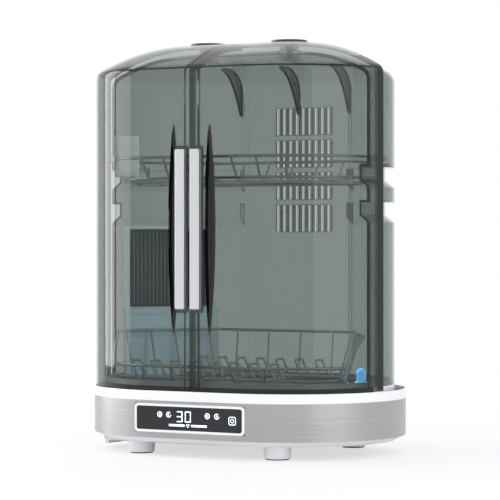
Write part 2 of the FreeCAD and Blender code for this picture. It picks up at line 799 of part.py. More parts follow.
def heater_block():
    # Two end plates joined by three bars that carry the upright fins.
    x0 = (duct_length - heater_length) / 2
    x1 = x0 + heater_length
    y0 = heater_out
    y1 = y0 + heater_depth
    z0 = pan_shelf
    z1 = z0 + heater_height
    ends = [on_duct(x, x + heater_end, y0, y1, z0, z1) for x in (x0, x1 - heater_end)]
    bars = [on_duct(x0, x1, y0, y1, z, z + heater_bar)
            for z in (z0 + 2 * heater_bar, (z0 + z1 - heater_bar) / 2, z1 - 3 * heater_bar)]
    pitch = (heater_length - 2 * heater_end) / (heater_fins + 1)
    fins = []
    for i in range(heater_fins):
        x = x0 + heater_end + pitch * (i + 1) - heater_fin / 2
        fins.append(on_duct(x, x + heater_fin, y0, y1, z0 + 2.3 * heater_bar, z1 - 2.3 * heater_bar))
    return fuse_all(ends + bars + fins)


def lamp_holder():
    cup = cylinder(lamp_x, lamp_y, pan_shelf, pan_shelf + holder_height, holder_radius)
    rim = [e for e in cup.Edges if e.BoundBox.ZMin > pan_shelf + holder_height - 0.1]
    cup = cup.makeFillet(1.2, [e for e in rim if len(e.Vertexes) == 1])
    stem = cylinder(lamp_x, lamp_y, pan_floor, pan_shelf, holder_radius)
    cup = cup.fuse(stem).removeSplitter()
    cup = cup.cut(cylinder(lamp_x, lamp_y, pan_shelf + 1, pan_rim + 20, lamp_radius + 0.1))
    pan_part = round_prism(pan_shelf_inside, pan_floor, pan_shelf)
    above = box(lamp_x - 20, lamp_x + 20, lamp_y - 20, lamp_y + 20, pan_shelf, pan_rim + 20)
    return cup.common(pan_part.fuse(above)).removeSplitter()


def uv_lamp():
    z0 = pan_shelf + 1
    body = cylinder(lamp_x, lamp_y, z0, z0 + lamp_height - lamp_radius, lamp_radius)
    dome_top = Part.makeSphere(lamp_radius, Vector(lamp_x, lamp_y, z0 + lamp_height - lamp_radius))
    return body.fuse(dome_top).removeSplitter()


def groove_cutters(grow):
    # The grooves of both sides, cut from the outside or, grown by the wall, from the inside.
    lean = math.atan2(groove_slope, groove_depth)
    deep = casing_radius - groove_depth - grow
    outer = casing_radius + 6
    run = (outer - deep) * math.tan(lean)
    cutters = []
    for step in range(2):
        top = ledge_outer_z - step * ledge_pitch
        knee = top - groove_height + grow * math.tan(lean) - grow / math.cos(lean)
        outline = [(outer, top + grow), (deep, top + grow), (deep, knee), (outer, knee - run)]
        cutters.append(about_pivot(section(outline), groove_first_angle, groove_last_angle))
    return cutters + [mirrored(c) for c in cutters]


def crescent(x):
    # Curved gusset between the casing's roof and its rear wall.
    wall_y = casing_inside
    top_z = casing_top - casing_wall - casing_slope_drop - 2
    a = Vector(x, wall_y - crescent_reach, top_z)
    c = Vector(x, wall_y + 0.8, top_z - crescent_drop)
    outer_mid = Vector(x, wall_y - 1.5, top_z - crescent_drop * 0.36)
    inner_mid = Vector(x, wall_y - 1.5 - crescent_width, top_z - crescent_drop * 0.42)
    top_back = Vector(x, wall_y - crescent_reach + 6, top_z + 3)
    edges = [Part.Arc(a, inner_mid, c).toShape(), Part.Arc(c, outer_mid, top_back).toShape(),
             Part.LineSegment(top_back, a).toShape()]
    plate = Part.Face(Part.Wire(edges)).extrude(Vector(crescent_thickness, 0, 0))
    plate.translate(Vector(-crescent_thickness / 2, 0, 0))
    return plate


def rear_casing():
    far = pivot_x + base_radius
    panel_top = overall_height - back_panel_top_drop
    back_y = casing_radius + back_panel_proud
    outer = dome(casing_arcs, 0, upstand_top)
    outer = fuse_all([outer, box(-back_panel_half, back_panel_half, casing_radius - 6, back_y, upstand_top,
                                 panel_top)])
    outer = outer.cut(groove_cutters(0))
    inner = dome(casing_arcs, casing_wall, upstand_top - 1)
    inner = fuse_all([inner, box(-back_panel_half + casing_wall, back_panel_half - casing_wall,
                                 casing_radius - 12, back_y - casing_wall, upstand_top - 1,
                                 panel_top - casing_wall)])
    inner = inner.cut(groove_cutters(casing_wall))
    keep = box(-far, far, casing_edge_y, far, 0, overall_height)
    shell = outer.cut(inner).common(keep)
    lip = dome(casing_arcs, casing_wall / 2, pan_rim + 1, casing_lip_depth - casing_wall / 2)
    lip = lip.common(box(-far, far, casing_edge_y, casing_edge_y + casing_lip_width, 0, overall_height))
    lip = lip.cut(groove_cutters(0))
    gussets = [crescent(x) for x in crescent_places]
    bosses = [cylinder(side * pivot_x, 0, casing_boss_top - casing_boss_height, casing_boss_top,
                       casing_boss_radius) for side in (1, -1)]
    shell = fuse_all([shell, lip] + gussets + bosses)
    cuts = [cylinder(side * pivot_x, 0, pin_bottom, overall_height, pin_radius + pin_fit) for side in (1, -1)]
    first_x = vent_middle_x - vent_pitch * (vent_columns - 1) / 2
    first_z = overall_height - vent_top_drop
    for row in range(vent_rows):
        z1 = first_z - row * vent_row_pitch
        for column in range(vent_columns):
            x = first_x + column * vent_pitch
            cuts.append(box(x - vent_width / 2, x + vent_width / 2, casing_radius - 20, back_y + 1,
                            z1 - vent_height, z1))
    return shell.cut(cuts)


def pivot_pins():
    return [cylinder(side * pivot_x, 0, pin_bottom, pin_top, pin_radius) for side in (1, -1)]


def door_region():
    # Where the right door is: right of the seam and in front of its rear edge, with the pivot tongue.
    far = pivot_x + base_radius + 20
    front = box(seam_half, far, -far, door_edge_y, 0, overall_height + 20)
    above = overall_height + 20
    tongue = box(pivot_x - tongue_radius, pivot_x + tongue_radius, door_edge_y - 1, 0, casing_top, above)
    return fuse_all([front, tongue, cylinder(pivot_x, 0, casing_top, above, tongue_radius)])


def scoop(grow):
    # Long pointed hollow beside the handle: two shallow arcs, sunk into the wall.
    middle = (scoop_bottom + scoop_top) / 2
    half = (scoop_top - scoop_bottom) / 2 + grow * 3
    width = scoop_half_width + grow
    low = Vector(scoop_offset, -door_radius - 1, middle - half)
    high = Vector(scoop_offset, -door_radius - 1, middle + half)
    near = Part.Arc(low, Vector(scoop_offset - width, low.y, middle), high).toShape()
    far = Part.Arc(high, Vector(scoop_offset + width, low.y, middle), low).toShape()
    outline = Part.Face(Part.Wire([near, far]))
    return outline.extrude(Vector(0, 1 + scoop_depth + grow, 0))


def handle_screw_places():
    x = handle_offset + handle_width / 2
    return [(x, handle_bottom + handle_screw_inset), (x, handle_top - handle_screw_inset)]


def screw_hole(x, z, radius, y0, y1):
    return Part.makeCylinder(radius, y1 - y0, Vector(x, y0, z), Vector(0, 1, 0))


def door():
    far = pivot_x + base_radius
    region = door_region()
    skin = dome(door_arcs, 0, door_bottom, door_wall).common(region)
    deep = dome(door_arcs, 0.5, door_bottom, stile_depth - 0.5)
    flange = deep.common(box(seam_half, seam_half + stile_width, -far, door_edge_y, 0, overall_height))
    shallow = dome(door_arcs, 0.5, door_bottom, rib_depth - 0.5)
    rib = shallow.common(box(rib_offset, rib_offset + rib_width, -far, door_edge_y, 0, overall_height))
    lip = shallow.common(box(seam_half, far, door_edge_y - door_lip_width, door_edge_y, 0, overall_height))
    boss = cylinder(pivot_x, 0, door_boss_bottom, overall_height - 1, door_boss_radius)
    backing = scoop(door_wall).common(box(0, far, -door_radius, 0, 0, overall_height))
    shell = fuse_all([skin, flange, rib, lip, boss, backing])
    cuts = [scoop(0), cylinder(pivot_x, 0, 0, overall_height + 1, bush_radius)]
    cuts.append(cylinder(pivot_x, 0, overall_height - cap_seat_drop, overall_height + 1, cap_radius + 0.2))
    for x, z in handle_screw_places():
        cuts.append(screw_hole(x, z, handle_screw_radius, -door_radius - 1, -door_inside + 8))
        cuts.append(screw_hole(x, z, screw_head_radius + screw_clearance, -door_inside, -door_inside + 8))
    return shell.cut(cuts)


def pivot_bush():
    sleeve = cylinder(pivot_x, 0, bush_bottom, overall_height - bush_top_cover, bush_radius)
    flange = cylinder(pivot_x, 0, bush_bottom, door_boss_bottom, bush_flange_radius)
    return sleeve.fuse(flange).cut(cylinder(pivot_x, 0, 0, overall_height + 1, pin_radius + pin_clearance))


def pivot_cap():
    low = overall_height - cap_seat_drop
    cap = cylinder(pivot_x, 0, low, overall_height + cap_rise, cap_radius)
    rim = [e for e in cap.Edges if e.BoundBox.ZMin > low + 0.5 and e.Length > 2 * cap_radius]
    return cap.makeFillet(cap_fillet, rim)


def handle_bezel():
    x0 = handle_offset - bezel_margin
    x1 = handle_offset + handle_width + bezel_margin
    z0 = handle_bottom - 2 * bezel_margin
    z1 = handle_top + 2 * bezel_margin
    plate = box(x0, x1, -door_radius - bezel_thickness, -door_radius, z0, z1)
    along_y = [e for e in plate.Edges if abs(e.tangentAt(e.FirstParameter).y) > 0.9]
    plate = plate.makeFillet(3, along_y)
    holes = [screw_hole(x, z, handle_screw_radius, -door_radius - 3, -door_radius + 1)
             for x, z in handle_screw_places()]
    return plate.cut(holes)


def handle():
    back = -door_radius - bezel_thickness
    far = handle_offset + handle_width
    bar = box(handle_offset, far, back - handle_depth, back, handle_bottom, handle_top)
    along_y = [e for e in bar.Edges if abs(e.tangentAt(e.FirstParameter).y) > 0.9]
    bar = bar.makeFillet(2, along_y)
    front_edges = [e for e in bar.Edges if e.BoundBox.YMax < back - handle_depth + 0.01]
    bar = bar.makeFillet(1.5, front_edges)
    holes = [screw_hole(x, z, handle_screw_radius, back - 4.5, back + 1) for x, z in handle_screw_places()]
    return bar.cut(holes)


def handle_screws():
    shapes = []
    for x, z in handle_screw_places():
        head = screw_hole(x, z, screw_head_radius, -door_inside, -door_inside + screw_head_height)
        tip = -door_radius - bezel_thickness - 4
        shank = screw_hole(x, z, handle_screw_radius - 0.05, tip, -door_inside)
        shapes.append(head.fuse(shank))
    return shapes


def door_guides():
    low = track_floor + liner_thickness + 0.8
    outline = section([(door_radius - 0.6, low), (door_radius - 0.6, door_bottom),
                       (door_inside + 0.2, door_bottom), (door_inside - 0.6, low)])
    return [about_pivot(outline, angle, angle + 7) for angle in (-24, -74)]


def half_space(limit_y, front):
    far = 400.0
    y0, y1 = (-far, limit_y) if front else (limit_y, far)
    return box(-far, far, y0, y1, -far, far * 2)


def rail(radius, z):
    # Round bar that follows the plan.
    circle = Part.Wire(Part.makeCircle(rail_radius, Vector(0, -radius, z), Vector(1, 0, 0)))
    return round_plan(Part.Face(circle))


def corner_on(radius, y, side):
    return side * (pivot_x + math.sqrt(radius ** 2 - y ** 2)), y


def chord_point(radius, corner_y, y, side):
    # The rack's rear corners are cut off parallel to the duct's face.
    x, front_y = corner_on(radius, corner_y, side)
    return x - side * (y - front_y) / math.tan(chord_turn), y


def plan_foot(x, way, radius):
    # Where a wire abeam x starts from, and its outward direction; way is -1 in front and 1 behind.
    over = max(0.0, abs(x) - pivot_x)
    side = math.copysign(1.0, x)
    foot = Vector(side * pivot_x if over else x, 0, 0)
    sine = over / radius
    return foot, Vector(side * sine, way * math.sqrt(1 - sine ** 2), 0)


def leaning_wire(low, high, out):
    # Straight wire on the inner sides of two rails, from abeam the lower to abeam the upper.
    along = high - low
    inward = out * -along.z + Z_AXIS * along.dot(out)
    inward.normalize()
    shift = inward * wire_on_rail
    return rod([low + shift, high + shift], wire_radius)[0]


chord_turn = math.radians(duct_angle)
ring_radius = rack_radius - rack_taper
ring_rear = rack_rear_y - rack_taper
ring_rear_x = chord_point(ring_radius, ring_corner_y, ring_rear, 1)[0]
floor_wire_z = lower_ring_z + wire_on_rail
cross_wire_z = floor_wire_z - wire_on_wire


def ring_half(y):
    # Half the length of a floor wire that runs along the cabinet at y.
    if y < ring_corner_y:
        return corner_on(ring_radius, y, 1)[0]
    return chord_point(ring_radius, ring_corner_y, y, 1)[0]


def cross_ends(x):
    # Ends of a wire from front to back between the inner sides of the ring, clear of its curve.
    edge = abs(x) + wire_radius
    reach = ring_radius - rail_radius - weld_gap
    front = -math.sqrt(reach ** 2 - max(0.0, edge - pivot_x) ** 2)
    if edge < ring_rear_x:
        return front, ring_rear - rail_radius - weld_gap
    chord_y = ring_rear - (edge - ring_rear_x) * math.tan(chord_turn)
    return front, chord_y - (rail_radius + weld_gap) / math.cos(chord_turn)


def lower_rack():
    # The ring that stands on the floor pan, and the rim that steps up towards the sides.
    ring_front = rail(ring_radius, lower_ring_z).common(half_space(ring_corner_y, True))
    rim_front = rail(rack_radius, lower_rim_z).common(half_space(rim_break_y, True))
    ring = [(*corner_on(ring_radius, ring_corner_y, 1), lower_ring_z),
            (ring_rear_x, ring_rear, lower_ring_z), (-ring_rear_x, ring_rear, lower_ring_z),
            (*corner_on(ring_radius, ring_corner_y, -1), lower_ring_z)]
    rim = [(*corner_on(rack_radius, rim_break_y, 1), lower_rim_z),
           (*corner_on(rack_radius, rim_corner_y, 1), lower_side_z),
           (*chord_point(rack_radius, rim_corner_y, rack_rear_y, 1), lower_side_z),
           (*chord_point(rack_radius, rim_corner_y, rack_rear_y, -1), lower_side_z),
           (*corner_on(rack_radius, rim_corner_y, -1), lower_side_z),
           (*corner_on(rack_radius, rim_break_y, -1), lower_rim_z)]
    loops = []
    for front, path in ((ring_front, ring), (rim_front, rim)):
        ends = [ball(p, rail_radius) for p in (path[0], path[-1])]
        loops.append(fuse_all([front] + rod(path, rail_radius) + ends))
    return loops


def lower_floor_wires():
    wires = []
    for row in divider_rows:
        for y in (row, row + divider_width):
            wires += rod([(-ring_half(y), y, floor_wire_z), (ring_half(y), y, floor_wire_z)], wire_radius)
    for x in cross_wires:
        front, back = cross_ends(x)
        wires += rod([(x, front, cross_wire_z), (x, back, cross_wire_z)], wire_radius)
    foot_z = pan_shelf + rack_seat_gap + wire_radius
    for side in (1, -1):
        x = side * rack_foot_x
        start = ring_rear + rail_radius + weld_gap
        wires += rod([(x, start, foot_z), (x, ring_rear + rack_foot_reach, foot_z)], wire_radius)
    return wires


def lower_fence_wires():
    wires = []
    for x in lower_front_wires:
        foot, out = plan_foot(x, -1, ring_radius)
        wires.append(leaning_wire(foot + out * ring_radius + Z_AXIS * lower_ring_z,
                                  foot + out * rack_radius + Z_AXIS * lower_rim_z, out))
    for side in (1, -1):
        out = Vector(side * math.sin(chord_turn), math.cos(chord_turn), 0)
        rim_corner = Vector(*corner_on(rack_radius, rim_corner_y, side), lower_side_z)
        for y in lower_side_wires:
            low = Vector(*chord_point(ring_radius, ring_corner_y, y, side), lower_ring_z)
            spread = (rim_corner - low).dot(out)
            high = low + out * spread + Z_AXIS * (lower_side_z - lower_ring_z)
            wires.append(leaning_wire(low, high, out))
    for x in lower_rear_wires:
        wires.append(leaning_wire(Vector(x, ring_rear, lower_ring_z), Vector(x, rack_rear_y, lower_side_z),
                                  Vector(0, 1, 0)))
    return wires


def plate_dividers():
    # Hoops that lean to the left and stand across each pair of floor wires.
    foot_z = floor_wire_z + wire_on_wire
    top_z = floor_wire_z + divider_height
    hoops = []
    for row in divider_rows:
        far = row + divider_width
        reach = min(ring_half(row), ring_half(far)) - divider_margin
        for i in range(divider_count):
            x = divider_first + i * divider_pitch
            if abs(x) > reach:
                continue
            top_x = x - divider_lean
            hoop = [(x, row, foot_z), (top_x, row + wire_radius, top_z), (top_x, far - wire_radius, top_z),
                    (x, far, foot_z)]
            pieces = rod(hoop, wire_radius)
            pieces += [ball(p, wire_radius) for p in (hoop[0], hoop[-1])]
            hoops.append(fuse_all(pieces))
    return hoops


upper_top_z = ledge_z + upper_rail_rise
upper_bottom_z = ledge_z - upper_bottom_drop
upper_inner = door_radius - upper_bottom_in
upper_floor_z = upper_bottom_z - wire_on_rail


def upper_rack():
    return [rail(rack_radius, upper_top_z), rail(upper_inner, upper_bottom_z)]


def upper_floor_wires():
    # Wires from front to back under the bottom rail, and two long ones across under them.
    first = -floor_pitch * (floor_count - 1) / 2
    wires = []
    for i in range(floor_count):
        x = first + i * floor_pitch
        y = math.sqrt(upper_inner ** 2 - max(0.0, abs(x) - pivot_x) ** 2)
        wires += rod([(x, -y, upper_floor_z), (x, y, upper_floor_z)], wire_radius)
    far = abs(first) + long_wire_over
    z = upper_floor_z - wire_on_wire
    for y in (-long_wire_y, long_wire_y):
        wires += rod([(-far, y, z), (far, y, z)], wire_radius)
    return wires


def upper_fence_wires():
    places = [(fence_first + i * fence_pitch, -1) for i in range(fence_count)]
    places += [((i - (back_fence_count - 1) / 2) * back_fence_pitch, 1) for i in range(back_fence_count)]
    wires = []
    for x, way in places:
        foot, out = plan_foot(x, way, upper_inner)
        wires.append(leaning_wire(foot + out * upper_inner + Z_AXIS * upper_bottom_z,
                                  foot + out * rack_radius + Z_AXIS * upper_top_z, out))
    # End wires, cranked so that they rest on the casing's ledges
    seat_z = ledge_z + rack_seat_gap + wire_radius
    for side in (1, -1):
        for angle in seat_angles:
            low = polar(angle, upper_inner + wire_on_rail, side)
            high = polar(angle, rack_radius + wire_on_rail, side)
            path = [(*low, upper_bottom_z), (*low, seat_z), (*high, seat_z), (*high, upper_top_z)]
            wires.append(fuse_all(rod(path, wire_radius)))
    return wires


def cutlery_holder():
    outer = rack_radius - rail_radius - holder_gap
    inner = door_radius - holder_inner_in
    low = ledge_z - cutlery_bottom_drop
    high = ledge_z + cutlery_top_rise
    body = section([(inner, low), (outer, low), (outer, high), (inner, high)])
    room = section([(inner + holder_wall, low + holder_wall), (outer - holder_wall, low + holder_wall),
                    (outer - holder_wall, high + 1), (inner + holder_wall, high + 1)])
    wall_angle = math.degrees(holder_wall / outer)
    shell = about_pivot(body, -holder_end_angle, -holder_start_angle)
    shell = shell.cut(about_pivot(room, -holder_end_angle + wall_angle, -holder_start_angle - wall_angle))
    slot = section([(inner - 2, low + 8), (outer + 2, low + 8), (outer + 2, high - 8), (inner - 2, high - 8)])
    middle = -(holder_start_angle + holder_end_angle) / 2
    slots = []
    for i in range(holder_slots):
        angle = middle + (i - (holder_slots - 1) / 2) * slot_pitch_angle
        slots.append(about_pivot(slot, angle - slot_angle / 2, angle + slot_angle / 2))
    shell = shell.cut(slots)
    # Two hooks over the rack's top rail
    rail_top = ledge_z + upper_rail_rise + rail_radius
    reach = rack_radius + rail_radius + hook_gap + hook_thickness
    over = rail_top + hook_gap
    hook = section([(outer - holder_wall, over), (reach - hook_thickness, over),
                    (reach - hook_thickness, over - 5), (reach, over - 5), (reach, over + hook_thickness),
                    (outer - holder_wall, over + hook_thickness)])
    hooks = []
    for angle in (-holder_start_angle - hook_half_angle - 1, -holder_end_angle + hook_half_angle + 1):
        hooks.append(about_pivot(hook, angle - hook_half_angle, angle + hook_half_angle))
    shell = fuse_all([shell] + hooks)
    return mirrored(shell)


def main():
    save("base_shell", base_shell())
    save("feet", *feet())
    save("foot_pads", *foot_pads())
    save("steel_band", steel_band())
    save("top_ring", top_ring())
    save("door_track", door_track())
    save("sill_strip", sill_strip())
    save("base_screws", *base_screws())
    save("floor_pan", floor_pan())
    save("drain_spout", drain_spout())
    save("display_frame", display_frame())
    save("display_panel", display_panel())
    save("control_board", control_board())
    save("power_board", power_board())
    save("power_inlet", power_inlet())
    save("tray_rails", *tray_rails())
    save("drip_tray", drip_tray())
    save("air_duct", air_duct())
    save("duct_louvre", duct_louvre())
    save("fan_frame", fan_frame())
    save("fan_rotor", fan_rotor())
    save("heater_block", heater_block())
    save("lamp_holder", lamp_holder())
    save("uv_lamp", uv_lamp())
    save("rear_casing", rear_casing())
    save("pivot_pins", *pivot_pins())
    sides = {"right": lambda shape: shape, "left": mirrored}
    pieces = {"door": [door()], "pivot_bush": [pivot_bush()], "pivot_cap": [pivot_cap()],
              "handle_bezel": [handle_bezel()], "handle": [handle()], "handle_screws": handle_screws(),
              "door_guides": door_guides()}
    for side, place in sides.items():
        for name, shapes in pieces.items():
            save(side + "_" + name, *[place(shape) for shape in shapes])
    save("lower_rack", *lower_rack())
    save("lower_floor_wires", *lower_floor_wires())
    save("lower_fence_wires", *lower_fence_wires())
    save("plate_dividers", *plate_dividers())
    save("upper_rack", *upper_rack())
    save("upper_floor_wires", *upper_floor_wires())
    save("upper_fence_wires", *upper_fence_wires())
    save("cutlery_holder", cutlery_holder())


main()
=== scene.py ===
import json
import math
import bmesh
import bpy
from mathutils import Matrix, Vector


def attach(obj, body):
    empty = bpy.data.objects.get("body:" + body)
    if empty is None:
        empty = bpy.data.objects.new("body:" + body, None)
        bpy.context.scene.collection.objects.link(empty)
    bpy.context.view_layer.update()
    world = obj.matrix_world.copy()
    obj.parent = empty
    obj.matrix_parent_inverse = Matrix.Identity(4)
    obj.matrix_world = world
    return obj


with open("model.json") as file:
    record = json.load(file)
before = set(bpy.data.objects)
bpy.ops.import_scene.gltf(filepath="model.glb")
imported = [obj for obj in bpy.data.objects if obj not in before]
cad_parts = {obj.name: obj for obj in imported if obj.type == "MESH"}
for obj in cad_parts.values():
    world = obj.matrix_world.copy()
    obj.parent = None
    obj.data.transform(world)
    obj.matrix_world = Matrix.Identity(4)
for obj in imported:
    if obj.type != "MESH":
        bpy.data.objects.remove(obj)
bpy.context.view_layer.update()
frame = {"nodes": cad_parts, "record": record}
scene = bpy.context.scene
nodes = frame["nodes"]
mm = 0.001
print("frame loaded with", len(nodes), "nodes")


# Material helpers

def newMaterial(name):
    material = bpy.data.materials.new(name)
    material.use_nodes = True
    tree = material.node_tree
    shader = tree.nodes["Principled BSDF"]
    return material, tree, shader


def addNode(tree, kind, inputs=None, **settings):
    node = tree.nodes.new(kind)
    for key, value in settings.items():
        setattr(node, key, value)
    for key, value in (inputs or {}).items():
        node.inputs[key].default_value = value
    return node


def objectCoords(tree, scale):
    # Pattern coordinates in metres, stretched by scale along each axis.
    coords = addNode(tree, "ShaderNodeTexCoord")
    stretch = addNode(tree, "ShaderNodeMapping", {"Scale": scale})
    tree.links.new(coords.outputs["Object"], stretch.inputs["Vector"])
    return stretch.outputs["Vector"]


def noise(tree, scale, detail=2.0, stretch=(1, 1, 1), roughness=0.5):
    texture = addNode(tree, "ShaderNodeTexNoise", {"Scale": scale, "Detail": detail, "Roughness": roughness})
    tree.links.new(objectCoords(tree, stretch), texture.inputs["Vector"])
    return texture.outputs["Fac"]


def remap(tree, source, low, high, fromLow=0.3, fromHigh=0.7):
    spread = addNode(tree, "ShaderNodeMapRange", {"From Min": fromLow, "From Max": fromHigh, "To Min": low,
                                                  "To Max": high})
    tree.links.new(source, spread.inputs["Value"])
    return spread.outputs["Result"]


def blendColors(tree, factor, first, second):
    # The first color where factor is 0, the second where it is 1.
    mix = addNode(tree, "ShaderNodeMix", data_type="RGBA")
    tree.links.new(factor, mix.inputs["Factor"])
    colorSockets = [socket for socket in mix.inputs if socket.type == "RGBA"]
    for socket, color in zip(colorSockets, (first, second)):
        if isinstance(color, tuple):
            socket.default_value = (*color, 1)
        else:
            tree.links.new(color, socket)
    return [socket for socket in mix.outputs if socket.type == "RGBA"][0]


def combine(tree, operation, first, second):
    node = addNode(tree, "ShaderNodeMath", operation=operation)
    for socket, value in zip(node.inputs, (first, second)):
        if isinstance(value, (int, float)):
            socket.default_value = value
        else:
            tree.links.new(value, socket)
    return node.outputs["Value"]


def within(tree, value, low, high):
    # 1 where value is between low and high, else 0.
    return combine(tree, "MULTIPLY", combine(tree, "GREATER_THAN", value, low),
                   combine(tree, "LESS_THAN", value, high))


def splitVector(tree, source):
    parts = addNode(tree, "ShaderNodeSeparateXYZ")
    tree.links.new(source, parts.inputs["Vector"])
    return [parts.outputs[axis] for axis in "XYZ"]


def paintedEdgeShadeMask(tree, shadeBoxes):
    # Painted edge shade: a mask of the faces inside a box, in mm: those that face along its axis, or with a minus
    # before the axis, away from it, or all of them. The last value is how dark the painted shade makes them, from
    # 0 to 1.
    place = splitVector(tree, objectCoords(tree, (1000, 1000, 1000)))
    place[0] = combine(tree, "ABSOLUTE", place[0], 0) if shadeBoxes["mirrored"] else place[0]
    surface = addNode(tree, "ShaderNodeNewGeometry")
    turned = addNode(tree, "ShaderNodeVectorTransform", vector_type="NORMAL", convert_from="WORLD",
                     convert_to="OBJECT")
    tree.links.new(surface.outputs["True Normal"], turned.inputs["Vector"])
    facing = [combine(tree, "ABSOLUTE", part, 0) for part in splitVector(tree, turned.outputs["Vector"])]
    mask = None
    for low, high, axis, limit, shadeStrength in shadeBoxes["faces"]:
        picked = within(tree, place[0], low[0], high[0])
        for value, start, end in zip(place[1:], low[1:], high[1:]):
            picked = combine(tree, "MULTIPLY", picked, within(tree, value, start, end))
        if axis != "all":
            compare = "LESS_THAN" if axis[0] == "-" else "GREATER_THAN"
            turnedRight = combine(tree, compare, facing["XYZ".index(axis[-1])], limit)
            picked = combine(tree, "MULTIPLY", picked, turnedRight)
        picked = combine(tree, "MULTIPLY", picked, shadeStrength)
        mask = picked if mask is None else combine(tree, "MAXIMUM", mask, picked)
    return mask


def addBump(tree, shader, height, distance, strength=1.0):
    bump = addNode(tree, "ShaderNodeBump", {"Distance": distance, "Strength": strength})
    tree.links.new(height, bump.inputs["Height"])
    tree.links.new(bump.outputs["Normal"], shader.inputs["Normal"])


def plastic(name, color, deeper, roughness, grain=0.0, grainScale=900, sheen=0.0):
    # Moulded plastic: slight colour drift, uneven gloss and a fine grain.
    material, tree, shader = newMaterial(name)
    drift = remap(tree, noise(tree, 9), 0, 1)
    tree.links.new(blendColors(tree, drift, color, deeper), shader.inputs["Base Color"])
    gloss = remap(tree, noise(tree, 35, 3), roughness * 0.85, roughness * 1.2)
    tree.links.new(gloss, shader.inputs["Roughness"])
    if grain:
        addBump(tree, shader, noise(tree, grainScale, 1), grain)
    else:
        addBump(tree, shader, noise(tree, 60, 1), 0.00002)
    return material


def brushedMetal(name, color, deeper, roughness, stretch, depth, metallic=1.0):
    # Metal with long fine scratches; the scratches are short along the axis with the large stretch.
    material, tree, shader = newMaterial(name)
    streaks = noise(tree, 1, 3, stretch, 0.6)
    tree.links.new(blendColors(tree, remap(tree, streaks, 0, 1), color, deeper), shader.inputs["Base Color"])
    tree.links.new(remap(tree, streaks, roughness * 0.8, roughness * 1.25), shader.inputs["Roughness"])
    shader.inputs["Metallic"].default_value = metallic
    addBump(tree, shader, streaks, depth)
    return material


def slotShadeMask(tree, slots):
    # Mask of painted shade: 1 in a narrow band round every slot of a regular grid, with the slot itself.
    x, y, z = splitVector(tree, objectCoords(tree, (1000, 1000, 1000)))
    mask = within(tree, y, *slots["wall"])
    for value, middle, pitch, count, half in ((x, *slots["across"]), (z, *slots["up"])):
        first = middle - pitch * (count - 1) / 2
        steps = combine(tree, "DIVIDE", combine(tree, "SUBTRACT", value, first), pitch)
        near = combine(tree, "MINIMUM", combine(tree, "MAXIMUM", combine(tree, "ROUND", steps, 0), 0), count - 1)
        offset = combine(tree, "ABSOLUTE", combine(tree, "SUBTRACT", steps, near), 0)
        close = combine(tree, "LESS_THAN", offset, (half + slots["band"]) / pitch)
        mask = combine(tree, "MULTIPLY", mask, close)
    return mask


def smokedClear(name, tint, edgeTint, gloss, shadeBoxes=None, slots=None, edgeShadeColor=(0.02, 0.03, 0.027)):
    # Clear tinted wall: what is behind shows through the tint, darker where the wall is seen edge-on.
    # The cut faces in the shade boxes get a painted shade, nearly black, standing for the light that runs along
    # the wall there.
    material, tree, shader = newMaterial(name)
    tree.nodes.remove(shader)
    output = tree.nodes["Material Output"]
    facing = addNode(tree, "ShaderNodeLayerWeight", {"Blend": 0.25})
    through = addNode(tree, "ShaderNodeBsdfTransparent")
    color = blendColors(tree, facing.outputs["Facing"], tint, edgeTint)
    if shadeBoxes:
        color = blendColors(tree, paintedEdgeShadeMask(tree, shadeBoxes), color, edgeShadeColor)
    # Painted shade: a darker band round each vent slot.
    if slots:
        color = blendColors(tree, slotShadeMask(tree, slots), color, slots["tint"])
    tree.links.new(color, through.inputs["Color"])
    mirror = addNode(tree, "ShaderNodeBsdfGlossy", {"Color": (1, 1, 1, 1), "Roughness": gloss})
    ripple = addNode(tree, "ShaderNodeBump", {"Distance": 0.00006})
    tree.links.new(noise(tree, 14, 1), ripple.inputs["Height"])
    tree.links.new(ripple.outputs["Normal"], mirror.inputs["Normal"])
    # Only the outer side of each surface mirrors; from inside the wall the light goes straight on.
    fresnel = addNode(tree, "ShaderNodeFresnel", {"IOR": 1.42})
    side = addNode(tree, "ShaderNodeNewGeometry")
    front = combine(tree, "SUBTRACT", 1.0, side.outputs["Backfacing"])
    mix = addNode(tree, "ShaderNodeMixShader")
    tree.links.new(combine(tree, "MULTIPLY", fresnel.outputs["Fac"], front), mix.inputs["Fac"])
    tree.links.new(through.outputs["BSDF"], mix.inputs[1])
    tree.links.new(mirror.outputs["BSDF"], mix.inputs[2])
    tree.links.new(mix.outputs["Shader"], output.inputs["Surface"])
    return material


def glow(name, color, strength):
    material, tree, shader = newMaterial(name)
    shader.inputs["Base Color"].default_value = (*color, 1)
    shader.inputs["Roughness"].default_value = 0.3
    shader.inputs["Emission Color"].default_value = (*color, 1)
    shader.inputs["Emission Strength"].default_value = strength
    return material


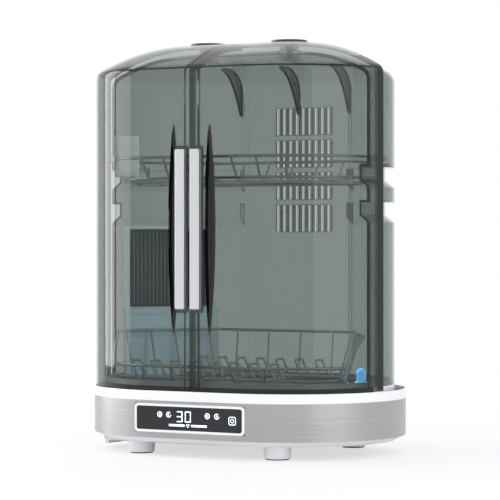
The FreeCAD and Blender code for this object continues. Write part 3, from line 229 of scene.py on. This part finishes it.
# Painted shade on the cut faces of the clear walls, standing for the light that runs along the wall there
# Door: painted shade on its meeting edge, ribs, handle scoop, rear edge, lower edge and shoulder.
doorShadeBoxes = {
    "mirrored": True,
    "faces": [
        ((-1, -160, 60), (5, 5, 530), "X", 0.6, 0.22),          # meeting edge
        ((8, -160, 60), (11, 5, 437), "X", 0.6, 1.0),           # rib beside it in painted shade, left paler from 437 to 467 mm as a painted reflection
        ((8, -160, 467), (11, 5, 530), "X", 0.6, 1.0),
        ((20, -143.2, 155), (33, -136, 412), "all", 0.0, 1.0),  # bottom of the scoop by the handle, painted shade in the recess
        ((20, -147, 155), (33, -136, 412), "X", 0.3, 0.8),      # and its sides
        ((20, -24.5, 60), (215, -20, 500), "Y", 0.6, 1.0),      # rear edge and its lip
        ((20, -34, 60), (215, -30.5, 484), "all", 0.0, 0.7),    # and the line before it
        ((-1, -160, 60), (215, -10, 84.5), "Z", 0.6, 1.0),      # lower edge
        ((1, -160, 482.6), (215, -18, 485), "all", 0.0, 0.8),   # where the wall turns into the roof, a painted dark line along the shoulder
    ],
}
# Casing: painted shade on the vent slot sides, the front edge and lip, and the ledges.
casingShadeBoxes = {
    "mirrored": False,
    "faces": [
        ((-40, 128, 270), (53, 142, 450), "-Y", 0.6, 1.0),      # vent slots
        ((-215, -31, 60), (215, -26, 505), "Y", 0.6, 1.0),      # front edge and its lip
        ((-215, -31, 270), (215, 150, 366), "Z", 0.95, 0.9),    # ledges, seen edge-on as dark lines in painted shade
    ],
}
ventSlots = {
    "wall": (128, 142),
    "across": (6.5, 9.6, 9, 2.9),      # middle, pitch, count and half width
    "up": (363.6, 43.1, 4, 17.75),
    "band": 0.8,
    # colour of the painted shade round the slots
    "tint": (0.25, 0.28, 0.27),
}
# Crescent ribs: painted shade on the faces that do not face sideways.
ribShadeBoxes = {"mirrored": False, "faces": [((-215, 0, 400), (215, 150, 530), "-X", 0.6, 1.0)]}

finishes = {
    "white_gloss": plastic("glossyWhite", (0.86, 0.86, 0.865), (0.83, 0.83, 0.835), 0.16),
    "white_matte": plastic("satinWhite", (0.80, 0.80, 0.81), (0.77, 0.77, 0.78), 0.42, 0.00002, 1400),
    "brushed_steel": brushedMetal("brushedSteel", (0.47, 0.47, 0.475), (0.36, 0.36, 0.365), 0.32,
                                  (6, 6, 2600), 0.00002),
    "smoked_door": smokedClear("smokedDoor", (0.615, 0.645, 0.628), (0.50, 0.54, 0.52), 0.03, doorShadeBoxes),
    "smoked_casing": smokedClear("smokedCasing", (0.69, 0.725, 0.705), (0.54, 0.58, 0.56), 0.05, casingShadeBoxes,
                                 ventSlots),
    "smoked_rib": smokedClear("smokedRib", (0.52, 0.57, 0.55), (0.42, 0.47, 0.45), 0.05, ribShadeBoxes),
    "black_trim": plastic("blackTrim", (0.012, 0.012, 0.013), (0.018, 0.018, 0.019), 0.4, 0.00001),
    "black_glass": plastic("blackGlass", (0.006, 0.006, 0.008), (0.008, 0.008, 0.010), 0.06),
    "handle_silver": brushedMetal("silverHandle", (0.66, 0.66, 0.68), (0.58, 0.58, 0.60), 0.34,
                                  (2400, 2400, 6), 0.00001, 0.75),
    "bezel_dark": plastic("darkBezel", (0.025, 0.03, 0.03), (0.035, 0.04, 0.04), 0.22),
    "cap_dark": plastic("darkCap", (0.03, 0.036, 0.034), (0.04, 0.046, 0.044), 0.3),
    "chromed_wire": brushedMetal("brightWire", (0.62, 0.63, 0.64), (0.54, 0.55, 0.56), 0.2, (60, 60, 60), 0.00001),
    "pan_steel": brushedMetal("panSteel", (0.55, 0.56, 0.57), (0.47, 0.48, 0.49), 0.36, (10, 1500, 1500),
                              0.00001),
    "tray_plastic": plastic("trayPlastic", (0.74, 0.75, 0.76), (0.70, 0.71, 0.72), 0.4, 0.00002, 1400),
    "holder_plastic": plastic("holderPlastic", (0.80, 0.80, 0.79), (0.76, 0.76, 0.75), 0.35),
    "duct_grey": plastic("ductGrey", (0.72, 0.74, 0.74), (0.68, 0.70, 0.70), 0.4, 0.00002, 1200),
    "louvre_dark": plastic("louvreDark", (0.04, 0.05, 0.05), (0.055, 0.065, 0.065), 0.4),
    "foot_rubber": plastic("footRubber", (0.02, 0.02, 0.02), (0.03, 0.03, 0.03), 0.8, 0.00004, 900),
    "steel_part": brushedMetal("plainSteel", (0.55, 0.55, 0.56), (0.48, 0.48, 0.49), 0.3, (80, 80, 80), 0.00001),
    "circuit_green": plastic("circuitGreen", (0.02, 0.11, 0.05), (0.03, 0.15, 0.07), 0.4),
    "lamp_glass": glow("lampGlass", (0.16, 0.45, 0.80), 1.2),
    "heater_metal": brushedMetal("heaterMetal", (0.6, 0.6, 0.6), (0.5, 0.5, 0.5), 0.35, (90, 90, 90), 0.00001),
    "fan_black": plastic("fanBlack", (0.015, 0.015, 0.016), (0.022, 0.022, 0.023), 0.5, 0.00002, 1200),
}

slotOf = {part["node"]: part["material_slot"] for part in frame["record"]["subparts"]}
for nodeName, piece in nodes.items():
    piece.data.materials.clear()
    piece.data.materials.append(finishes[slotOf[nodeName]])
print("finishes on", len(nodes), "nodes")


# Symbols on the touch panel

panelSymbols = {
    "y": -148.6 * mm,            # front of the glass
    "thickness": 0.08 * mm,
    "middleZ": 48.9 * mm,
    "iconRadius": 3.6 * mm,
    "iconZ": 4.6 * mm,
    "iconPlaces": (-42 * mm, -29 * mm, 26.8 * mm, 40.4 * mm),
    "digitPlaces": (-13.2 * mm, -1.1 * mm),
    "digitSize": (8.6 * mm, 13.4 * mm),
    "digitZ": 2.6 * mm,
    "stroke": 1.3 * mm,
    "barZ": -8.2 * mm,
    "barHalf": 27.5 * mm,
    "barHeight": 2.7 * mm,
    "powerPlace": 62.3 * mm,
    "color": (0.72, 0.80, 1.0),
    "strength": 1.3,
}


def addPlate(mesh, points, y, thickness):
    # Extrudes a flat outline in the XZ plane towards the front.
    back = [mesh.verts.new((x, y, z)) for x, z in points]
    front = [mesh.verts.new((x, y - thickness, z)) for x, z in points]
    mesh.faces.new(front)
    mesh.faces.new(back[::-1])
    for i in range(len(points)):
        j = (i + 1) % len(points)
        mesh.faces.new((back[i], back[j], front[j], front[i]))


def rectangle(x0, x1, z0, z1):
    return [(x0, z0), (x1, z0), (x1, z1), (x0, z1)]


def addRing(mesh, x, z, outer, inner, y, thickness, start=0.0, end=360.0, steps=28):
    # Flat ring, or part of one, as a row of small plates.
    count = max(3, int(steps * (end - start) / 360))
    for i in range(count):
        a = math.radians(start + (end - start) * i / count)
        b = math.radians(start + (end - start) * (i + 1) / count)
        addPlate(mesh, [(x + r * math.cos(t), z + r * math.sin(t))
                        for r, t in ((outer, a), (outer, b), (inner, b), (inner, a))], y, thickness)


def roundedOutline(x, z, half, corner, steps=6):
    points = []
    for cx, cz, turn in ((1, 1, 0), (-1, 1, 90), (-1, -1, 180), (1, -1, 270)):
        for i in range(steps + 1):
            a = math.radians(turn + 90 * i / steps)
            points.append((x + cx * (half - corner) + corner * math.cos(a),
                           z + cz * (half - corner) + corner * math.sin(a)))
    return points


def addFrameOutline(mesh, outer, inner, y, thickness):
    for i in range(len(outer)):
        j = (i + 1) % len(outer)
        addPlate(mesh, [outer[i], outer[j], inner[j], inner[i]], y, thickness)


def addDigit(mesh, x, z, size, stroke, lit, y, thickness):
    # Seven bars, numbered from the top clockwise, with the middle one last.
    halfW, halfH = size[0] / 2, size[1] / 2
    gap = stroke * 0.22
    bars = [
        (-halfW + gap, halfW - gap, halfH - stroke, halfH), (halfW - stroke, halfW, gap, halfH - gap),
        (halfW - stroke, halfW, -halfH + gap, -gap), (-halfW + gap, halfW - gap, -halfH, -halfH + stroke),
        (-halfW, -halfW + stroke, -halfH + gap, -gap), (-halfW, -halfW + stroke, gap, halfH - gap),
        (-halfW + gap, halfW - gap, -stroke / 2, stroke / 2),
    ]
    for i in lit:
        x0, x1, z0, z1 = bars[i]
        cut = stroke * 0.35
        if x1 - x0 > z1 - z0:
            shape = [(x0 + cut, z0), (x1 - cut, z0), (x1, z0 + cut), (x1, z1 - cut), (x1 - cut, z1),
                     (x0 + cut, z1), (x0, z1 - cut), (x0, z0 + cut)]
        else:
            shape = [(x0 + cut, z0), (x1 - cut, z0), (x1, z0 + cut), (x1, z1 - cut), (x1 - cut, z1),
                     (x0 + cut, z1), (x0, z1 - cut), (x0, z0 + cut)]
        addPlate(mesh, [(x + px, z + pz) for px, pz in shape], y, thickness)


def finishMesh(mesh, name, material, body):
    bmesh.ops.recalc_face_normals(mesh, faces=mesh.faces)
    data = bpy.data.meshes.new(name)
    mesh.to_mesh(data)
    mesh.free()
    piece = bpy.data.objects.new(name, data)
    scene.collection.objects.link(piece)
    data.materials.append(material)
    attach(piece, body)
    return piece


def makePanelSymbols():
    values = panelSymbols
    y, t = values["y"], values["thickness"]
    top = values["middleZ"]
    mesh = bmesh.new()
    iconZ = top + values["iconZ"]
    r = values["iconRadius"]
    for number, x in enumerate(values["iconPlaces"]):
        addRing(mesh, x, iconZ, r, r * 0.74, y, t, 40 * (number % 2), 360 if number % 2 else 360)
        if number == 0:
            addRing(mesh, x, iconZ - r * 0.08, r * 0.40, r * 0.16, y, t)
        elif number == 1:
            addRing(mesh, x, iconZ, r * 0.42, r * 0.18, y, t, 50, 310)
        elif number == 2:
            for step in (-1, 0, 1):
                addPlate(mesh, rectangle(x + (step * 0.3 - 0.07) * r, x + (step * 0.3 + 0.07) * r,
                                         iconZ - 0.42 * r, iconZ + 0.42 * r), y, t)
        else:
            addPlate(mesh, [(x, iconZ - 0.5 * r), (x + 0.4 * r, iconZ), (x, iconZ + 0.5 * r),
                            (x - 0.4 * r, iconZ)], y, t)
    digits = ((0, 1, 2, 3, 6), (0, 1, 2, 3, 4, 5))
    for x, lit in zip(values["digitPlaces"], digits):
        addDigit(mesh, x, top + values["digitZ"], values["digitSize"], values["stroke"], lit, y, t)
    barZ, barHalf, barHeight = top + values["barZ"], values["barHalf"], values["barHeight"]
    gap = 4.6 * mm
    segments = 8
    middle = -1.2 * mm
    for side in (-1, 1):
        run = (barHalf - gap) / segments
        for i in range(segments):
            x = middle + side * (gap + run * (i + 0.5))
            addPlate(mesh, rectangle(x - run * 0.43, x + run * 0.43, barZ - barHeight / 2, barZ + barHeight / 2),
                     y, t)
    for blade in range(3):
        addRing(mesh, middle, barZ, 2.5 * mm, 0.7 * mm, y, t, blade * 120, blade * 120 + 62, 36)
    px = values["powerPlace"]
    addFrameOutline(mesh, roundedOutline(px, top, 5.2 * mm, 2.4 * mm), roundedOutline(px, top, 4.3 * mm, 1.7 * mm),
                    y, t)
    addRing(mesh, px, top, 2.7 * mm, 1.9 * mm, y, t, 120, 420)
    addPlate(mesh, rectangle(px - 0.4 * mm, px + 0.4 * mm, top + 0.6 * mm, top + 3.1 * mm), y, t)
    return finishMesh(mesh, "panelSymbols", glow("litSymbol", values["color"], values["strength"]), "base")


makePanelSymbols()
print("panel symbols made")


# Crescent ribs under the casing's roof

crescentRibs = {
    "places": (-85 * mm, 2 * mm, 79 * mm),
    "halfThickness": 1.8 * mm,
    "pivotX": 60 * mm,
    "wallRadius": 131.3 * mm,
    # Corners as distance in from the wall and height, from the front tip over the top to the wall
    "top": ((54, 497), (48, 499.6), (38, 500.2), (28, 498.6), (19, 495), (10, 489.5), (4, 482), (0, 472),
            (0, 455), (0, 437)),
    "under": ((3.5, 437.5), (7, 446), (11.5, 456), (17, 466), (23.5, 476), (31, 485), (40, 491.5), (48, 495)),
}


def makeCrescentRibs():
    values = crescentRibs
    mesh = bmesh.new()
    half = values["halfThickness"]
    for place in values["places"]:
        beyond = max(0.0, abs(place) - values["pivotX"])
        wall = math.sqrt(values["wallRadius"] ** 2 - beyond ** 2)
        outline = [(wall - back * mm, height * mm) for back, height in values["top"] + values["under"]]
        sides = [[mesh.verts.new((place + side * half, y, z)) for y, z in outline] for side in (-1, 1)]
        mesh.faces.new(sides[0])
        mesh.faces.new(sides[1][::-1])
        for i in range(len(outline)):
            j = (i + 1) % len(outline)
            mesh.faces.new((sides[0][i], sides[0][j], sides[1][j], sides[1][i]))
    return finishMesh(mesh, "crescentRibs", finishes["smoked_rib"], "base")


makeCrescentRibs()
print("crescent ribs made")


# Closed ends of the ledge grooves, where the wall turns back out

grooveEnds = {
    "pivotX": 60 * mm,
    "angles": (79.6, 80.8),
    "tops": (361 * mm, 317 * mm),
    # Distance from the pivot, and height from the ledge
    "outline": ((132, 2.5), (119.5, 2.5), (119.5, -16.2), (132, -26.4)),
}


def makeGrooveEnds():
    values = grooveEnds
    mesh = bmesh.new()
    for side in (-1, 1):
        for ledgeTop in values["tops"]:
            rings = []
            for angle in values["angles"]:
                a = math.radians(angle)
                rings.append([mesh.verts.new((side * (values["pivotX"] + r * mm * math.cos(a)),
                                              r * mm * math.sin(a), ledgeTop + z * mm))
                              for r, z in values["outline"]])
            mesh.faces.new(rings[0])
            mesh.faces.new(rings[1][::-1])
            for i in range(4):
                j = (i + 1) % 4
                mesh.faces.new((rings[0][i], rings[0][j], rings[1][j], rings[1][i]))
    return finishMesh(mesh, "grooveEnds", finishes["smoked_casing"], "base")


makeGrooveEnds()
print("groove ends made")


# Fine screen in the vent slots

ventScreen = {
    "halfWidth": 2.95 * mm,
    "halfHeight": 17.8 * mm,
    "y": 140.8 * mm,
    "thickness": 0.3 * mm,
    "tint": (0.80, 0.82, 0.81),
}


def makeVentScreen():
    values = ventScreen
    mesh = bmesh.new()
    middleX, pitchX, countX = ventSlots["across"][:3]
    middleZ, pitchZ, countZ = ventSlots["up"][:3]
    for i in range(countX):
        for j in range(countZ):
            x = (middleX + (i - (countX - 1) / 2) * pitchX) * mm
            z = (middleZ + (j - (countZ - 1) / 2) * pitchZ) * mm
            addPlate(mesh, rectangle(x - values["halfWidth"], x + values["halfWidth"],
                                     z - values["halfHeight"], z + values["halfHeight"]),
                     values["y"], values["thickness"])
    material = smokedClear("ventScreen", values["tint"], values["tint"], 0.3)
    return finishMesh(mesh, "ventScreen", material, "base")


makeVentScreen()
print("vent screen made")


# Floor, lights and camera

stageValues = {
    "floorColor": (0.90, 0.90, 0.90),
    "floorNear": 0.62,           # share of plain white close to the object, so its shadow stays soft
    "floorFar": 1.0,             # and away from it, where floor and backdrop meet
    "nearRadius": 0.35,
    "farRadius": 1.4,
    "worldColor": (0.95, 0.97, 1.0),
    "worldStrength": 1.0,
}


def seenRays(tree):
    # 1 for what the camera sees directly, in a reflection or through glass.
    path = addNode(tree, "ShaderNodeLightPath")
    seen = combine(tree, "MAXIMUM", path.outputs["Is Camera Ray"], path.outputs["Is Glossy Ray"])
    return combine(tree, "MAXIMUM", seen, path.outputs["Is Transmission Ray"])


def makeStage():
    mesh = bmesh.new()
    bmesh.ops.create_grid(mesh, x_segments=1, y_segments=1, size=6)
    data = bpy.data.meshes.new("floor")
    mesh.to_mesh(data)
    mesh.free()
    floor = bpy.data.objects.new("floor", data)
    scene.collection.objects.link(floor)
    material, tree, shader = newMaterial("paleFloor")
    shader.inputs["Base Color"].default_value = (*stageValues["floorColor"], 1)
    shader.inputs["Roughness"].default_value = 0.6
    white = addNode(tree, "ShaderNodeEmission", {"Color": (1, 1, 1, 1), "Strength": 1.0})
    place = objectCoords(tree, (1, 1, 1))
    distance = addNode(tree, "ShaderNodeVectorMath", operation="LENGTH")
    tree.links.new(place, distance.inputs[0])
    share = remap(tree, distance.outputs["Value"], stageValues["floorNear"], stageValues["floorFar"],
                  stageValues["nearRadius"], stageValues["farRadius"])
    cover = addNode(tree, "ShaderNodeMixShader")
    tree.links.new(combine(tree, "MULTIPLY", share, seenRays(tree)), cover.inputs["Fac"])
    tree.links.new(shader.outputs["BSDF"], cover.inputs[1])
    tree.links.new(white.outputs["Emission"], cover.inputs[2])
    tree.links.new(cover.outputs["Shader"], tree.nodes["Material Output"].inputs["Surface"])
    data.materials.append(material)
    world = bpy.data.worlds.new("studio")
    world.use_nodes = True
    scene.world = world
    tree = world.node_tree
    background = tree.nodes["Background"]
    background.inputs["Color"].default_value = (*stageValues["worldColor"], 1)
    background.inputs["Strength"].default_value = stageValues["worldStrength"]
    seen = addNode(tree, "ShaderNodeBackground", {"Color": (1, 1, 1, 1), "Strength": 1.0})
    pick = addNode(tree, "ShaderNodeMixShader")
    tree.links.new(seenRays(tree), pick.inputs["Fac"])
    tree.links.new(background.outputs["Background"], pick.inputs[1])
    tree.links.new(seen.outputs["Background"], pick.inputs[2])
    tree.links.new(pick.outputs["Shader"], tree.nodes["World Output"].inputs["Surface"])


softLights = {
    "left": {"place": (-2.0, -0.10, 0.75), "size": (0.72, 1.6), "power": 13},
    "leftFront": {"place": (-2.0, -0.95, 0.75), "size": (0.85, 1.6), "power": 7.5},
    "right": {"place": (2.0, -0.65, 0.75), "size": (1.6, 1.6), "power": 7.5},
    "top": {"place": (-0.4, -0.7, 2.2), "size": (1.6, 1.4), "power": 3},
}


# The lamp's own light, and what the clear walls would pass on inside
innerLights = {
    "lampLight": {"place": (0.150, -0.006, 0.125), "radius": 0.012, "power": 0.22, "color": (0.20, 0.55, 1.0)},
    "ductLight": {"place": (-0.055, -0.045, 0.135), "radius": 0.02, "power": 0.16, "color": (0.25, 0.62, 1.0)},
    "lowerFill": {"place": (0.0, -0.07, 0.285), "radius": 0.03, "power": 0.5, "color": (0.85, 0.94, 1.0)},
    "upperFill": {"place": (-0.02, -0.05, 0.455), "radius": 0.03, "power": 0.5, "color": (0.9, 0.96, 1.0)},
    "baseFill": {"place": (0.45, -0.90, 0.10), "radius": 0.06, "power": 2.4, "color": (1.0, 1.0, 1.0)},
}


def makeLights():
    for name, values in softLights.items():
        data = bpy.data.lights.new(name, "AREA")
        data.shape = "RECTANGLE"
        data.size, data.size_y = values["size"]
        data.energy = values["power"]
        light = bpy.data.objects.new(name, data)
        scene.collection.objects.link(light)
        light.location = values["place"]
        aim = Vector((0, 0, 0.25)) - Vector(values["place"])
        light.rotation_euler = aim.to_track_quat("-Z", "Y").to_euler()
    for name, values in innerLights.items():
        data = bpy.data.lights.new(name, "POINT")
        data.energy = values["power"]
        data.color = values["color"]
        data.shadow_soft_size = values["radius"]
        light = bpy.data.objects.new(name, data)
        scene.collection.objects.link(light)
        light.location = values["place"]
        light.visible_camera = False
        light.visible_glossy = False


cameraValues = {"place": (1.52, -2.633, 0.27), "lens": 169.9, "shiftX": 0.0026, "shiftY": -0.02}


def makeCamera():
    data = bpy.data.cameras.new("camera")
    data.lens = cameraValues["lens"]
    data.sensor_width = 36
    data.shift_x = cameraValues["shiftX"]
    data.shift_y = cameraValues["shiftY"]
    data.clip_end = 30
    camera = bpy.data.objects.new("camera", data)
    scene.collection.objects.link(camera)
    camera.location = cameraValues["place"]
    camera.rotation_euler = (math.radians(90), 0, math.radians(30))
    scene.camera = camera


makeStage()
makeLights()
makeCamera()
scene.view_settings.view_transform = "Standard"
scene.cycles.transparent_max_bounces = 40    # walls, lips and ribs stand many deep near the ends
print("stage, lights and camera made")
